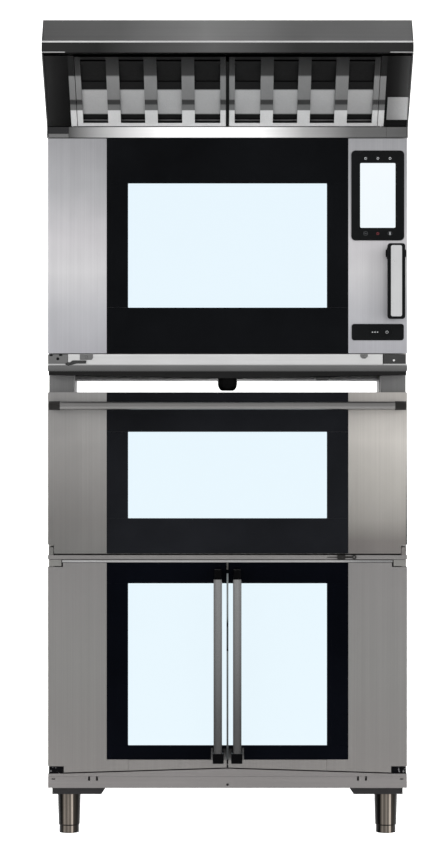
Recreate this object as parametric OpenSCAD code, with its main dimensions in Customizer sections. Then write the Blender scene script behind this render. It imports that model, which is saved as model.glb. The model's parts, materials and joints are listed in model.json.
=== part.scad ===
// Bakery tower: extraction hood, convection oven, deck oven and prover stacked on a legged stand.
// Origin at the centre of the base on the floor, front towards -Y, up +Z, millimetres.

/* [Overall] */
// Width of the whole tower
body_w = 860; // [760:10:960]
// Depth of the cabinets behind their doors
case_d = 900; // [800:10:1000]
// Floor to the underside of the foot plates
leg_h = 96; // [80:2:140]
// Height of the prover
prover_h = 544; // [480:4:640]
// Height of the deck oven
deck_h = 400; // [360:4:480]
// Height of the riser blocks between deck oven and convection oven
riser_h = 41; // [36:1:60]
// Height of the convection oven with its fascia
oven_h = 565; // [500:5:660]
// Height of the extraction hood
hood_h = 259; // [230:1:320]

/* [Hood] */
// How far the hood lip stands out in front of the doors
hood_out = 180; // [140:2:200]
// Height of the upright lip
lip_h = 25; // [16:1:32]
// Number of narrow front strips on each grease filter
filter_strips = 3; // [2:1:4]
// Radius of the exhaust collar
collar_r = 75; // [60:1:85]
// Height of the exhaust collar above the canopy
collar_h = 45; // [30:1:70]

/* [Doors] */
// Thickness of every door
door_t = 56; // [50:1:64]
// Width of the black glass in every door
glass_w = 576; // [520:2:620]
// Width of the clear window in every door
window_w = 474; // [420:2:500]
// Radius of the upright hinge pins
pin_r = 5; // [4:0.5:6]
// Radial running clearance of hinge pins and shafts
run_gap = 0.08; // [0.05:0.01:0.1]
// How far the handles stand off the doors
handle_out = 46; // [40:1:56]

/* [Inside] */
// Width of the convection oven cavity
oven_cav_w = 660; // [600:10:700]
// Number of tray levels in the convection oven
oven_levels = 5; // [3:1:6]
// Number of tray levels in the prover
prover_levels = 7; // [4:1:9]
// Thickness of the stone sole of the deck oven
stone_t = 20; // [15:1:30]
// Radius of the convection fan wheels
fan_r = 85; // [70:1:92]

/* [Stand] */
// Radius of the leg tubes
leg_r = 27.6; // [22:0.2:32]
// Radius of the foot pads
pad_r = 23.5; // [18:0.5:25]

/* [Hidden] */
$fn = 48;
s = 0.5;
sheet = 2;
gap = 4;
hw = body_w / 2;
plate_t = 15;
z_prov = leg_h + plate_t;
z_deck = z_prov + prover_h;
z_ris = z_deck + deck_h;
z_oven = z_ris + riser_h;
z_hood = z_oven + oven_h;
z_top = z_hood + hood_h;
depth = hood_out + door_t + gap + case_d;
y_lip = -depth / 2;
yd = y_lip + hood_out;
yr = yd + door_t;
yc = yr + gap;
yb = yc + case_d;
gx = glass_w / 2;
wx = window_w / 2;
dx = hw - 2;
hx = hw - 12;
hy = yd + 12;
bore_r = pin_r + run_gap;
yh = yd - handle_out;

steel = [0.72, 0.72, 0.73];
dull = [0.45, 0.45, 0.46];
dark = [0.14, 0.14, 0.15];
black = [0.05, 0.05, 0.06];
pale = [0.86, 0.93, 0.96];
wool = [0.85, 0.8, 0.6];

// ---- building blocks ----
module box(x0, x1, y0, y1, z0, z1) {
  translate([x0, y0, z0]) cube([x1 - x0, y1 - y0, z1 - z0]);
}
module rod_x(x0, x1, y, z, r) { translate([x0, y, z]) rotate([0, 90, 0]) cylinder(h = x1 - x0, r = r); }
module rod_y(x, y0, y1, z, r) { translate([x, y0, z]) rotate([-90, 0, 0]) cylinder(h = y1 - y0, r = r); }
module rod_z(x, y, z0, z1, r) { translate([x, y, z0]) cylinder(h = z1 - z0, r = r); }
module rrect(a0, a1, b0, b1, r) {
  translate([a0 + r, b0]) square([a1 - a0 - 2 * r, b1 - b0]);
  translate([a0, b0 + r]) square([a1 - a0, b1 - b0 - 2 * r]);
  for (a = [a0 + r, a1 - r], b = [b0 + r, b1 - r]) translate([a, b]) circle(r);
}
// plate facing the front with rounded corners
module face_plate(x0, x1, y0, y1, z0, z1, r) {
  translate([0, y1, 0]) rotate([90, 0, 0]) linear_extrude(y1 - y0) rrect(x0, x1, z0, z1, r);
}
// outline in the X-Z plane, thick along Y
module front_slab(pts, y0, y1) {
  translate([0, y1, 0]) rotate([90, 0, 0]) linear_extrude(y1 - y0) polygon(pts);
}
// outline in the Y-Z plane, thick along X
module side_slab(pts, x0, x1) {
  translate([x0, 0, 0]) rotate([90, 0, 90]) linear_extrude(x1 - x0) polygon(pts);
}
// closed sheet-metal box section
module hollow_box(x0, x1, y0, y1, z0, z1) difference() {
  box(x0, x1, y0, y1, z0, z1);
  box(x0 + 2, x1 - 2, y0 + 2, y1 - 2, z0 + 2, z1 - 2);
}
// flat border in four strips round a window from (a0, b0) to (a1, b1)
module border(x0, x1, z0, z1, a0, a1, b0, b1, y0, y1) {
  box(x0, x1, y0, y1, z0, b0);
  box(x0, x1, y0, y1, b1, z1);
  box(x0, a0, y0, y1, b0 + 0.2, b1 - 0.2);
  box(a1, x1, y0, y1, b0 + 0.2, b1 - 0.2);
}
// five flat panels open to the front; a = side, b = back, c = floor, d = top thickness
module tub(x, y0, y1, z0, z1, a, b, c, d) {
  box(-x, -x + a, y0, y1, z0, z1);
  box(x - a, x, y0, y1, z0, z1);
  box(-x + a + s, x - a - s, y0, y1 - b - s, z0, z0 + c);
  box(-x + a + s, x - a - s, y0, y1 - b - s, z1 - d, z1);
  box(-x + a + s, x - a - s, y1 - b, y1, z0, z1);
}
// four strips round an opening
module ring4(x, z0, z1, y0, y1, w) {
  box(-x, -x + w, y0, y1, z0, z1);
  box(x - w, x, y0, y1, z0, z1);
  box(-x + w + s, x - w - s, y0, y1, z0, z0 + w);
  box(-x + w + s, x - w - s, y0, y1, z1 - w, z1);
}

// face frame between a cabinet's liner and its casing
module front_frame(x, z0, z1, low, high) {
  for (m = [0, 1]) mirror([m, 0, 0]) box(x, hw - sheet - s, yc, yc + 3 - s, low, high);
  box(-x + s, x - s, yc, yc + 3 - s, low, z0 - s);
  box(-x + s, x - s, yc, yc + 3 - s, z1 + s, high);
}

// ---- hood ----
cheek_t = 3;
slope_y = y_lip + 50;
fz = z_hood + 27;
rise_z = z_top - 58 - lip_h;
run_y = yd - y_lip - 20;
tilt = atan2(run_y, rise_z - 2 - fz);
f_len = 195;
f_top = f_len + 15;
f_w = body_w / 2 - 77;
inner = hw - cheek_t - s;
by = yb - 190;
hole = (collar_r + 17) * 0.7;

module hood_canopy() color(steel) {
  for (x = [-hw, hw - cheek_t])
    side_slab([[yd - 2, z_hood], [yd - 2, z_hood + 25], [y_lip, rise_z], [y_lip, z_top - 58],
      [slope_y, z_top], [yb, z_top], [yb, z_hood]], x, x + cheek_t);
  box(-inner, inner, y_lip, y_lip + 3, rise_z, z_top - 58.25);
  side_slab([[y_lip, z_top - 57.75], [slope_y, z_top], [slope_y + 4, z_top], [slope_y + 4, z_top - 4],
    [y_lip + 3, z_top - 57.75]], -inner, inner);
  translate([0, 0, z_top - 3]) linear_extrude(3) {
    translate([-inner, slope_y + 4 + s]) square([2 * inner, by - hole - slope_y - 4 - s]);
    translate([-inner, by + hole]) square([2 * inner, yb - 3 - s - by - hole]);
    for (m = [0, 1]) mirror([m, 0]) translate([hole, by - hole + s]) square([inner - hole, 2 * hole - 2 * s]);
  }
  box(-inner, inner, yb - 3, yb, z_hood, z_top);
  box(-inner, inner, yr + 2, yb - 3 - s, z_hood, z_hood + 3);
  box(-hw + 52, hw - 52, yd - 2, yd + 1, z_hood, z_hood + 25);
  box(-hw + 52, hw - 52, yd + 1 + s, yr + 2 - s, z_hood, z_hood + 3);
  box(-hw + cheek_t + s, -hw + 51.5, yd - 2, yr + 1.5, z_hood + 9 + s, z_hood + 25);
  box(hw - 51.5, hw - cheek_t - s, yd - 2, yr + 1.5, z_hood, z_hood + 25);
}
// the carrier frame leans forward with the filters
module lean() { translate([0, yd - 2, fz]) rotate([tilt, 0, 0]) children(); }
module hood_filter_frame() color(dark) {
  for (m = [0, 1]) mirror([m, 0, 0]) {
    lean() box(f_w + 4.5, inner, 0, 3, 0, f_len + 18);
    lean() box(f_w + 4.5, f_w + 7.5, 3 + s, 40, 4, f_len);
  }
  box(-f_w - 4, f_w + 4, yd - 1, yd + 34, fz - 2, fz - 0.3);
  lean() box(-3, 3, 1, 14, 1, f_len);
  box(-inner, inner, y_lip + 3 + s, y_lip + 24, rise_z - 1, rise_z + 1);
}
module filter_body() {
  side_w = 13;
  pitch = (f_w - 2 * side_w) / (filter_strips + 1) * 1.075;
  first = side_w + (f_w - 2 * side_w - pitch * (filter_strips - 1)) / 2;
  x0 = 4;
  lean() {
    for (x = [x0, x0 + f_w - side_w - 1]) {
      box(x, x + side_w, 0, 14, 0, f_len);
      box(x, x + side_w, 0, 3, f_len - 1, f_top);
    }
    box(x0, x0 + f_w - 1, 0, 14, 0, 10);
    box(x0, x0 + f_w - 1, 2.5, 14, f_len - 10, f_len);
    box(x0, x0 + f_w - 1, 0, 3, f_top - 8, f_top);
    for (i = [0:filter_strips - 1]) {
      box(x0 + first + i * pitch - 15, x0 + first + i * pitch + 15, 0, 2, 0, f_top);
      for (e = [-15, 13]) box(x0 + first + i * pitch + e, x0 + first + i * pitch + e + 2, 1, 8, 5, f_len - 5);
    }
    for (i = [0:filter_strips]) {
      c = x0 + first + (i - 0.5) * pitch;
      box(max(c - 32, x0 + 4), min(c + 32, x0 + f_w - 5), 10, 12, 5, 128);
    }
  }
}
module hood_filter_right() color(dull) filter_body();
module hood_filter_left() color(dull) mirror([1, 0, 0]) filter_body();

module hood_blower_box() color(dull) {
  zt = z_top - 3;
  z0 = zt - 150;
  for (x = [-150, 148]) box(x, x + 2, by - 150, by + 150, z0, zt);
  for (y = [by - 150, by + 148]) box(-147.5, 147.5, y, y + 2, z0, zt);
  difference() {
    box(-147.5, 147.5, by - 147.5, by + 147.5, z0, z0 + 2);
    rod_z(0, by, z0 - 1, z0 + 3, 70);
  }
}
module hood_blower_wheel() color(steel) {
  z0 = z_top - 125;
  difference() {
    union() {
      rod_z(0, by, z0, z0 + 3, 105);
      rod_z(0, by, z0, z0 + 40, 16);
      for (i = [0:11]) translate([0, by, z0 + 2]) rotate([0, 0, i * 30]) box(70, 104, -1, 1, 0, 70);
      rod_z(0, by, z_hood + 66, z0 + 10, 6);
    }
    rod_z(0, by, z0 + 20, z0 + 41, 4);
  }
}
module blower_motor() {
  difference() {
    union() {
      rod_z(0, by, z_hood + 3, z_hood + 80, 46);
      box(-70, 70, by - 30, by + 30, z_hood + 3, z_hood + 9);
      for (i = [0:11]) translate([0, by, z_hood + 20]) rotate([0, 0, i * 30]) box(44, 50, -1.5, 1.5, 0, 48);
    }
    rod_z(0, by, z_hood + 64, z_hood + 81, 6 + run_gap);
  }
}
module hood_collar() color(steel) difference() {
  union() {
    rod_z(0, by, z_top, z_top + collar_h, collar_r);
    rod_z(0, by, z_top, z_top + 3, collar_r + 18);
  }
  rod_z(0, by, z_top - 1, z_top + collar_h + 1, collar_r - 3);
}

// ---- convection oven ----
oz0 = z_oven + 51;
oz1 = z_hood - 2;
ocx = oven_cav_w / 2;
ocz0 = z_oven + 84;
ocz1 = z_hood - 26;
ocy = yc + 660;
fan_x = 150;
fan_z = (ocz0 + ocz1) / 2;
ring_r = fan_r + 20;
term_z = fan_z + sqrt(ring_r * ring_r - 900);
ow0 = z_oven + 160;
ow1 = z_hood - 109;

module oven_casing() color(steel) tub(hw, yc, yb, z_oven, z_hood, sheet, sheet, sheet, sheet);
module oven_wool() difference() {
  tub(hw - sheet, yc + 3, yb - sheet, z_oven + sheet, z_hood - sheet,
    hw - sheet - ocx - sheet, yb - sheet - ocy - sheet, ocz0 - z_oven - 2 * sheet, z_hood - ocz1 - 2 * sheet);
  for (m = [-1, 1]) rod_y(m * fan_x, ocy - 1, ocy + 130, fan_z, 50);
  for (m = [-1, 1], e = [-30, 30]) rod_y(m * fan_x + e, ocy - 1, ocy + 40, term_z, 6);
}
module oven_liner() color(steel) {
  difference() {
    tub(ocx + sheet, yc + 3, ocy + sheet, ocz0 - sheet, ocz1 + sheet, sheet, sheet, sheet, sheet);
    for (m = [-1, 1]) rod_y(m * fan_x, ocy - 1, ocy + 4, fan_z, 9);
    for (m = [-1, 1], e = [-30, 30]) rod_y(m * fan_x + e, ocy - 1, ocy + 4, term_z, 4);
  }
  // front frame between liner and casing
  front_frame(ocx, ocz0, ocz1, z_oven + 30, z_hood - 3);
}
module oven_seal() ring4(ocx + 20, ocz0 - 18, ocz1 + 14, yc - 3.5, yc, 12);
module oven_rails() for (m = [0, 1]) mirror([m, 0, 0]) {
  step = (ocz1 - ocz0 - 60) / oven_levels;
  for (y = [yc + 40, ocy - 200]) box(ocx - 6, ocx, y, y + 12, ocz0 + 20, ocz1 - 20);
  for (i = [0:oven_levels - 1])
    box(ocx - 30, ocx - 6 - s, yc + 30, ocy - 178, ocz0 + 40 + i * step, ocz0 + 43 + i * step);
}
module oven_baffle() color(dull) difference() {
  union() {
    box(-ocx + 14, ocx - 14, ocy - 130, ocy - 128, ocz0 + 14, ocz1 - 14);
    for (x = [-ocx + 40, ocx - 40], z = [ocz0 + 40, ocz1 - 40]) rod_y(x, ocy - 128 + s, ocy, z, 6);
  }
  for (m = [-1, 1]) {
    for (k = [0:3], i = [0:(k == 0 ? 0 : k * 6 - 1)])
      translate([m * fan_x + k * 20 * cos(i * 60 / max(k, 1)), 0, fan_z + k * 20 * sin(i * 60 / max(k, 1))])
        rod_y(0, ocy - 131, ocy - 127, 0, 7);
  }
}
module oven_fan(x) {
  difference() {
    union() {
      rod_y(x, ocy - 34, ocy - 31, fan_z, fan_r);
      rod_y(x, ocy - 60, ocy - 33, fan_z, 15);
      for (i = [0:9]) translate([x, 0, fan_z]) rotate([0, i * 36, 0])
        box(fan_r - 30, fan_r - 1, ocy - 80, ocy - 33, -1, 1);
      rod_y(x, ocy - 40, ocy + 45, fan_z, 7);
    }
    rod_y(x, ocy - 61, ocy - 50, fan_z, 5);
  }
}
module oven_fan_left() color(steel) oven_fan(-fan_x);
module oven_fan_right() color(steel) oven_fan(fan_x);
module oven_motors() for (m = [-1, 1]) difference() {
  rod_y(m * fan_x, ocy + sheet, ocy + 128, fan_z, 46);
  rod_y(m * fan_x, ocy + 1, ocy + 47, fan_z, 7 + run_gap);
}
module oven_heaters() color(dull) for (m = [-1, 1]) {
  translate([m * fan_x, ocy - 55, fan_z]) rotate([90, 0, 0])
    rotate_extrude() translate([ring_r, 0]) circle(4.5);
  for (e = [-30, 30]) rod_y(m * fan_x + e, ocy - 53, ocy + 20, term_z, 3);
}
module oven_fascia() color(steel) {
  box(-hw + 50, hw - 60, yd + 2, yc, z_oven + 22, z_oven + 49);
  for (x = [-hw + 2, hw - 59]) box(x, x + (x < 0 ? 47.5 : 57), yd + 2, yc, z_oven + 22, z_oven + 26);
  box(-hw + 2, hw - 2, yd - 6, yd - 4, z_oven + 9, z_oven + 22 - s);
}
module trough_face(y0, y1) front_slab([[-hw + 4, z_oven + 21], [hw - 4, z_oven + 21], [hw - 4, z_oven],
  [0, z_oven - 8.5], [-hw + 4, z_oven]], y0, y1);
module oven_drip_trough() color(dark) {
  trough_face(yd - 4, yd - 2);
  trough_face(yc - 3, yc - s);
  for (m = [0, 1]) mirror([m, 0, 0]) {
    box(hw - 6, hw - 4, yd - 2 + s, yc - 3 - s, z_oven + 2 + s, z_oven + 21);
    front_slab([[22, z_oven - 8], [22, z_oven - 5.5], [hw - 4, z_oven + 2], [hw - 4, z_oven]],
      yd - 2 + s, yc - 3 - s);
  }
  difference() {
    union() {
      box(-21.5, 21.5, yd - 2 + s, yc - 3 - s, z_oven - 8.5, z_oven - 6.5);
      translate([0, yd + 22, z_oven]) rotate_extrude()
        polygon([[0, -38], [14, -38], [18.5, -34.5], [21.8, -29], [23, -22], [23, -9], [20, -9], [20, -7], [0, -7]]);
    }
    rod_z(0, yd + 22, z_oven - 39, z_oven - 6, 12);
  }
}
module oven_hinge_blocks() color(dull) {
  box(-hw + 2, -hw + 49, yd + 1, yc, z_oven + 26, z_oven + 48.5);
  rod_z(-hx, hy, z_oven + 47, oz0 + 15, pin_r);
  difference() {
    box(hw - 58, hw - 6, yd + 1, yc, z_oven + 26, z_oven + 48.5);
    rod_y(hw - 34, yd, yd + 4, z_oven + 34, 5);
  }
  rod_y(hw - 34, yd + 1.5, yd + 4, z_oven + 34, 4);
  box(-hw + cheek_t + s, -hw + 51.5, yd - 1, yr + 1.5, z_hood, z_hood + 9);
  rod_z(-hx, hy, oz1 - 15, z_hood + 2, pin_r);
}
module oven_risers() color(dull) for (m = [0, 1]) mirror([m, 0, 0]) {
  box(hw - 60, hw - 1, yc, yc + 60, z_ris, z_oven);
  box(hw - 16, hw - 3, yb - 120, yb - 20, z_ris, z_oven);
}

// window frame behind the glass: two hollow rails and the frame sides
module rails(z0, z1, w0, w1) {
  hollow_box(-wx + s, wx - s, yd + 6, yr, z0, w0);
  hollow_box(-wx + s, wx - s, yd + 6, yr, w1, z1);
}
module oven_door_shell() color(steel) {
  rails(oz0, oz1, ow0, ow1);
  difference() {
    box(-dx, -wx, yd, yr, oz0, oz1);
    box(-hw + 30, -gx - 2, yd + 2, yr - 2, oz0 + 2, oz1 - 2);
    box(-gx, -wx + 1, yd - 1, yd + 6, oz0 - 1, oz1 + 1);
    box(-gx + 1, -wx - 2, yd + 8, yr - 2, oz0 + 2, oz1 - 2);
    rod_z(-hx, hy, oz0 - 1, oz0 + 16, bore_r);
    rod_z(-hx, hy, oz1 - 16, oz1 + 1, bore_r);
  }
  difference() {
    box(wx, dx, yd, yr, oz0, oz1);
    box(wx - 1, gx, yd - 1, yd + 6, oz0 - 1, oz1 + 1);
    box(dx - 8, dx + 1, yd + 6, yr + 1, oz0 - 1, oz1 + 1);
    box(gx + 2, dx - 10, yd + 2, yr - 2, oz0 + 2, oz1 - 2);
    box(wx + 2, gx - 1, yd + 8, yr - 2, oz0 + 2, oz1 - 2);
  }
}
module door_pane(x, y0, y1, z0, z1) { box(-x, x, y0, y1, z0, z1); }
module oven_door_glass() color(black) border(-gx + 0.5, gx - 0.5, oz0, oz1, -wx, wx, ow0, ow1, yd, yd + 6);
module oven_door_window() color(pale) {
  door_pane(wx - 0.3, yd + 0.5, yd + 5.5, ow0 + 0.3, ow1 - 0.3);
  door_pane(wx - 0.3, yr - 12, yr - 7, ow0 + 0.3, ow1 - 0.3);
}
bez_x = (gx + dx) / 2;
module oven_bezels() color(dark) {
  difference() {
    face_plate(bez_x - 63, bez_x + 63, yd - 4, yd, oz1 - 243, oz1 - 29, 10);
    box(bez_x - 42.3, bez_x + 42.3, yd - 5, yd - 2, oz1 - 213.3, oz1 - 58.7);
  }
  difference() {
    face_plate(bez_x - 62, bez_x + 62, yd - 3, yd, oz0 + 31, oz0 + 70, 6);
    face_plate(bez_x - 20, bez_x + 34, yd - 4, yd - 1.5, oz0 + 41, oz0 + 60, 4);
  }
}
module oven_screen() color(pale) {
  face_plate(bez_x - 42, bez_x + 42, yd - 4.2, yd - 2, oz1 - 213, oz1 - 59, 3);
}
// loop handle pivoting on a bracket near its upper end
hp_x = hw - 31;
hp_z = oz1 - 276;
hp_y = yd - handle_out * 0.72;
module oven_handle_bracket() color(dark) {
  box(hp_x - 14, hp_x + 14, hp_y - 7, yd, hp_z - 11, hp_z + 11);
  rod_x(hp_x - 23, hp_x + 23, hp_y, hp_z, 4);
  for (x = [hp_x - 24, hp_x + 21.5]) rod_x(x, x + 2.5, hp_y, hp_z, 9);
}
module oven_handle_loop() color(black) {
  face_plate(hp_x - 21, hp_x + 21, yh - 4, yh, hp_z - 156, hp_z + 23, 7);
  for (x = [hp_x - 21, hp_x + 15]) difference() {
    box(x, x + 6, yh + 0.3, hp_y + 9, hp_z - 13, hp_z + 13);
    rod_x(x - 1, x + 7, hp_y, hp_z, 4 + run_gap);
  }
  box(hp_x - 17, hp_x + 17, yh + 0.3, yh + 26, hp_z - 152, hp_z - 146);
}
module oven_handle_face() color(steel)
  face_plate(hp_x - 13, hp_x + 13, yh - 8, yh - 4, hp_z - 150, hp_z + 18, 4);

// ---- deck oven ----
kz0 = z_deck + 15;
kz1 = z_ris - 1;
kcx = 340;
kcz0 = z_deck + 50;
kcz1 = z_ris - 70;
kcy = yc + 760;
kw0 = z_deck + 99;
kw1 = z_ris - 95;
ka_y = yd + 8;
ka_z = kz0 + 8;

module deck_casing() color(steel) tub(hw, yc, yb, z_deck, z_ris, sheet, sheet, sheet, sheet);
module deck_wool()
  tub(hw - sheet, yc + 3, yb - sheet, z_deck + sheet, z_ris - sheet,
    hw - kcx - 2 * sheet, yb - kcy - 2 * sheet, kcz0 - z_deck - 2 * sheet, z_ris - kcz1 - 2 * sheet);
module deck_liner() color(steel) {
  tub(kcx + sheet, yc + 3, kcy + sheet, kcz0 - sheet, kcz1 + sheet, sheet, sheet, sheet, sheet);
  front_frame(kcx, kcz0, kcz1, z_deck + 3, z_ris - 3);
}
module deck_seal() ring4(kcx + 18, kcz0 - 10, kcz1 + 14, yc - 3.5, yc, 10);
module deck_stone() color(wool) {
  for (x = [-kcx + 1, s]) box(x, x + kcx - 1 - s, yc + 6, kcy - 1, kcz0 + 22, kcz0 + 22 + stone_t);
  for (x = [-kcx + 1, kcx - 13]) box(x, x + 12, yc + 6, kcy - 1, kcz0, kcz0 + 22 - s);
  box(-5, 5, yc + 6, kcy - 1, kcz0, kcz0 + 22 - s);
}
module deck_heaters() color(dull) {
  for (i = [0:7]) for (z = [kcz0 + 10, kcz1 - 16]) {
    x = -280 + i * 80;
    rod_y(x, yc + 40, kcy - 0.2, z, 4);
    rod_y(x, yc + 44, yc + 47, z, 7);
    if (z > kcz0 + 50) box(x - 2, x + 2, yc + 44, yc + 47, z, kcz1);
    else box(x - 2, x + 2, yc + 44, yc + 47, kcz0, z);
  }
}
module deck_sill() color(dull) difference() {
  box(-dx, dx, yd, yc, z_deck + 1, z_deck + 11);
  box(hw - 192, hw - 140, yd - 1, yd + 10, z_deck + 4, z_deck + 8);
}
module deck_hinge_blocks() color(dark) for (m = [0, 1]) mirror([m, 0, 0]) {
  box(hw - 15, hw - 4, yd + 1, yc, z_deck + 11, ka_z + 7);
  rod_x(hw - 32, hw - 10, ka_y, ka_z, 4);
}
module deck_vent_lever() color(dark) {
  box(hw - 168, hw - 150, yd - 7, yd - 0.3, z_deck + 1, z_deck + 11);
  box(hw - 158, hw - 148, yd - 1, yd + 9, z_deck + 4.5, z_deck + 7.5);
  difference() {
    union() {
      box(hw - 151, hw - 129, yd - 5, yd - 2, z_deck + 4.5, z_deck + 8.5);
      rod_y(hw - 128, yd - 5, yd - 2, z_deck + 6.5, 5);
    }
    rod_y(hw - 128, yd - 6, yd - 1, z_deck + 6.5, 2.4);
  }
}
module deck_door_shell() color(steel) {
  rails(kz0, kz1, kw0, kw1);
  for (m = [0, 1]) mirror([m, 0, 0]) difference() {
    box(wx, dx, yd, yr, kz0, kz1);
    box(wx - 1, gx, yd - 1, yd + 6, kz0 - 1, kz1 + 1);
    box(gx + 2, dx - 2, yd + 2, yr - 2, kz0 + 24, kz1 - 2);
    box(wx + 2, gx - 1, yd + 8, yr - 2, kz0 + 24, kz1 - 2);
    box(hw - 16.5, hw + 1, yd - 1, yr + 1, kz0 - 1, kz0 + 21);
    rod_x(hw - 33, hw - 10, ka_y, ka_z, 4 + run_gap);
  }
}
module deck_door_glass() color(black) border(-gx + 0.5, gx - 0.5, kz0, kz1, -wx, wx, kw0, kw1, yd, yd + 6);
module deck_door_window() color(pale) {
  door_pane(wx - 0.3, yd + 0.5, yd + 5.5, kw0 + 0.3, kw1 - 0.3);
  door_pane(wx - 0.3, yr - 12, yr - 7, kw0 + 0.3, kw1 - 0.3);
}
kb_z = z_ris - 33;
module deck_handle_bar() color(steel) rod_x(-hw + 34, hw - 34, yh, kb_z, 9.7);
module deck_handle_ends() color(dark) for (m = [0, 1]) mirror([m, 0, 0]) {
  rod_x(hw - 34, hw - 8, yh, kb_z, 10.5);
  box(hw - 31, hw - 11, yh, yd, kb_z - 9, kb_z + 9);
}

// ---- prover ----
pz1 = z_deck - 7;
pz0 = z_prov + 35;
pcx = 385;
pcz0 = z_prov + 60;
pcz1 = z_deck - 35;
pcy = yc + 850;
pw0 = z_prov + 102;
pw1 = z_deck - 56;
peak = 13;

module prover_casing() color(steel) {
  tub(hw, yc, yb, z_prov, z_deck, sheet, sheet, sheet, sheet);
  box(-hw + 36, hw - 36, yd + 1, yc - s, z_deck - 6, z_deck - 1);
}
module prover_wool()
  tub(hw - sheet, yc + 3, yb - sheet, z_prov + sheet, z_deck - sheet,
    hw - pcx - 2 * sheet, yb - pcy - 2 * sheet, pcz0 - z_prov - 2 * sheet, z_deck - pcz1 - 2 * sheet);
module prover_liner() color(steel) {
  tub(pcx + sheet, yc + 3, pcy + sheet, pcz0 - sheet, pcz1 + sheet, sheet, sheet, sheet, sheet);
  front_frame(pcx, pcz0, pcz1, z_prov + 3, z_deck - 3);
}
module prover_seal() ring4(pcx + 10, pcz0 - 10, pcz1 + 8, yc - 3.5, yc, 9);
module prover_rails() for (m = [0, 1]) mirror([m, 0, 0]) {
  step = (pcz1 - pcz0 - 40) / prover_levels;
  for (y = [yc + 60, pcy - 120]) box(pcx - 6, pcx, y, y + 12, pcz0 + 20, pcz1 - 20);
  for (i = [0:prover_levels - 1])
    box(pcx - 34.5, pcx - 6 - s, yc + 40, pcy - 98, pcz0 + 35 + i * step, pcz0 + 38 + i * step);
}
pf_z = (pcz0 + pcz1) / 2;
module prover_fan() color(dull) {
  for (i = [0:5]) translate([0, 0, pf_z]) rotate([0, i * 60, 0]) box(10, 80, pcy - 52, pcy - 50, -14, 14);
  rod_y(0, pcy - 60, pcy - 42, pf_z, 16);
  rod_y(0, pcy - 45, pcy - 14, pf_z, 5);
}
module prover_fascia() color(steel) {
  difference() {
    front_slab([[-hw + 2, z_prov], [hw - 2, z_prov], [hw - 2, z_prov + 34], [hw - 40, z_prov + 34],
      [0, z_prov + 33 + peak], [-hw + 40, z_prov + 34], [-hw + 2, z_prov + 34]], yd + 2, yc - s);
    for (x = [-330, -311, 311, 330]) box(x - 2.5, x + 2.5, yd + 1, yd + 27, z_prov + 17.5, z_prov + 28);
    for (x = [-hw + 15, hw - 15]) box(x - 4, x + 4, yd + 1, yd + 12, z_prov + 20, z_prov + 23);
    box(-hw, hw, yd + 1, yd + 3, z_prov + 26.5, z_prov + 28);
    rod_y(0, yd + 1, yd + 30, z_prov + 8, 3);
  }
}
module prover_motor() difference() {
  rod_y(0, pcy - 40, pcy, pf_z, 38);
  rod_y(0, pcy - 41, pcy - 12, pf_z, 5 + run_gap);
}
module prover_hinge_blocks() color(dull) for (m = [0, 1]) mirror([m, 0, 0]) {
  box(hw - 38, hw - 4, yd + 2, yc, z_prov + 34, z_prov + 50);
  rod_z(hx, hy, z_prov + 49, z_prov + 66, pin_r);
  box(hw - 34, hw - 4, yd + 2, yc, z_deck - 15, z_deck);
  rod_z(hx, hy, z_deck - 31, z_deck - 14, pin_r);
}
// right-hand door: hinge side, free side, top rail, bottom rail
module door_half() {
  difference() {
    front_slab([[wx, pz0 + peak * (1 - wx / dx) + 1], [dx, pz0 + 1], [dx, pz1], [wx, pz1]], yd, yr);
    box(wx - 1, gx, yd - 1, yd + 6, pz0 + peak + 20, pz1 + 1);
    box(hw - 40, hw + 1, yd - 1, yr + 1, pz0 - 1, z_prov + 52);
    box(hw - 38, hw + 1, yd - 1, yr + 1, z_deck - 17, z_deck);
    box(gx + 2, hw - 42, yd + 2, yr - 2, pz0 + peak + 22, pz1 - 2);
    box(wx + 2, gx - 1, yd + 8, yr - 2, pz0 + peak + 22, pz1 - 2);
    rod_z(hx, hy, z_prov + 40, z_prov + 67, bore_r);
    rod_z(hx, hy, z_deck - 32, z_deck - 10, bore_r);
  }
  hollow_box(4, wx - s, yd + 6, yr, pw1 + s, pz1);
  hollow_box(4, wx - s, yd + 6, yr, pz0 + peak + 20, pw0 - s);
  front_slab([[2, pz0 + peak + 1], [wx - s, pz0 + peak * (1 - wx / dx) + 1], [wx - s, pz0 + peak + 20 - s],
    [2, pz0 + peak + 20 - s]], yd, yd + 22);
}
module glass_half() {
  box(2, gx - 0.5, yd, yd + 6, pz0 + peak + 20.5, pw0);
  box(2, gx - 0.5, yd, yd + 6, pw1, pz1);
  box(wx, gx - 0.5, yd, yd + 6, pw0 + 0.2, pw1 - 0.2);
}
module window_half() {
  box(2.3, wx - 0.3, yd + 0.5, yd + 5.5, pw0 + 0.3, pw1 - 0.3);
  box(2.3, wx - 0.3, yr - 12, yr - 7, pw0 + 0.3, pw1 - 0.3);
  box(2.3, 8.3, yd + 6, yr - 12.5, pw0 + 0.3, pw1 - 0.3);
}
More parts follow.
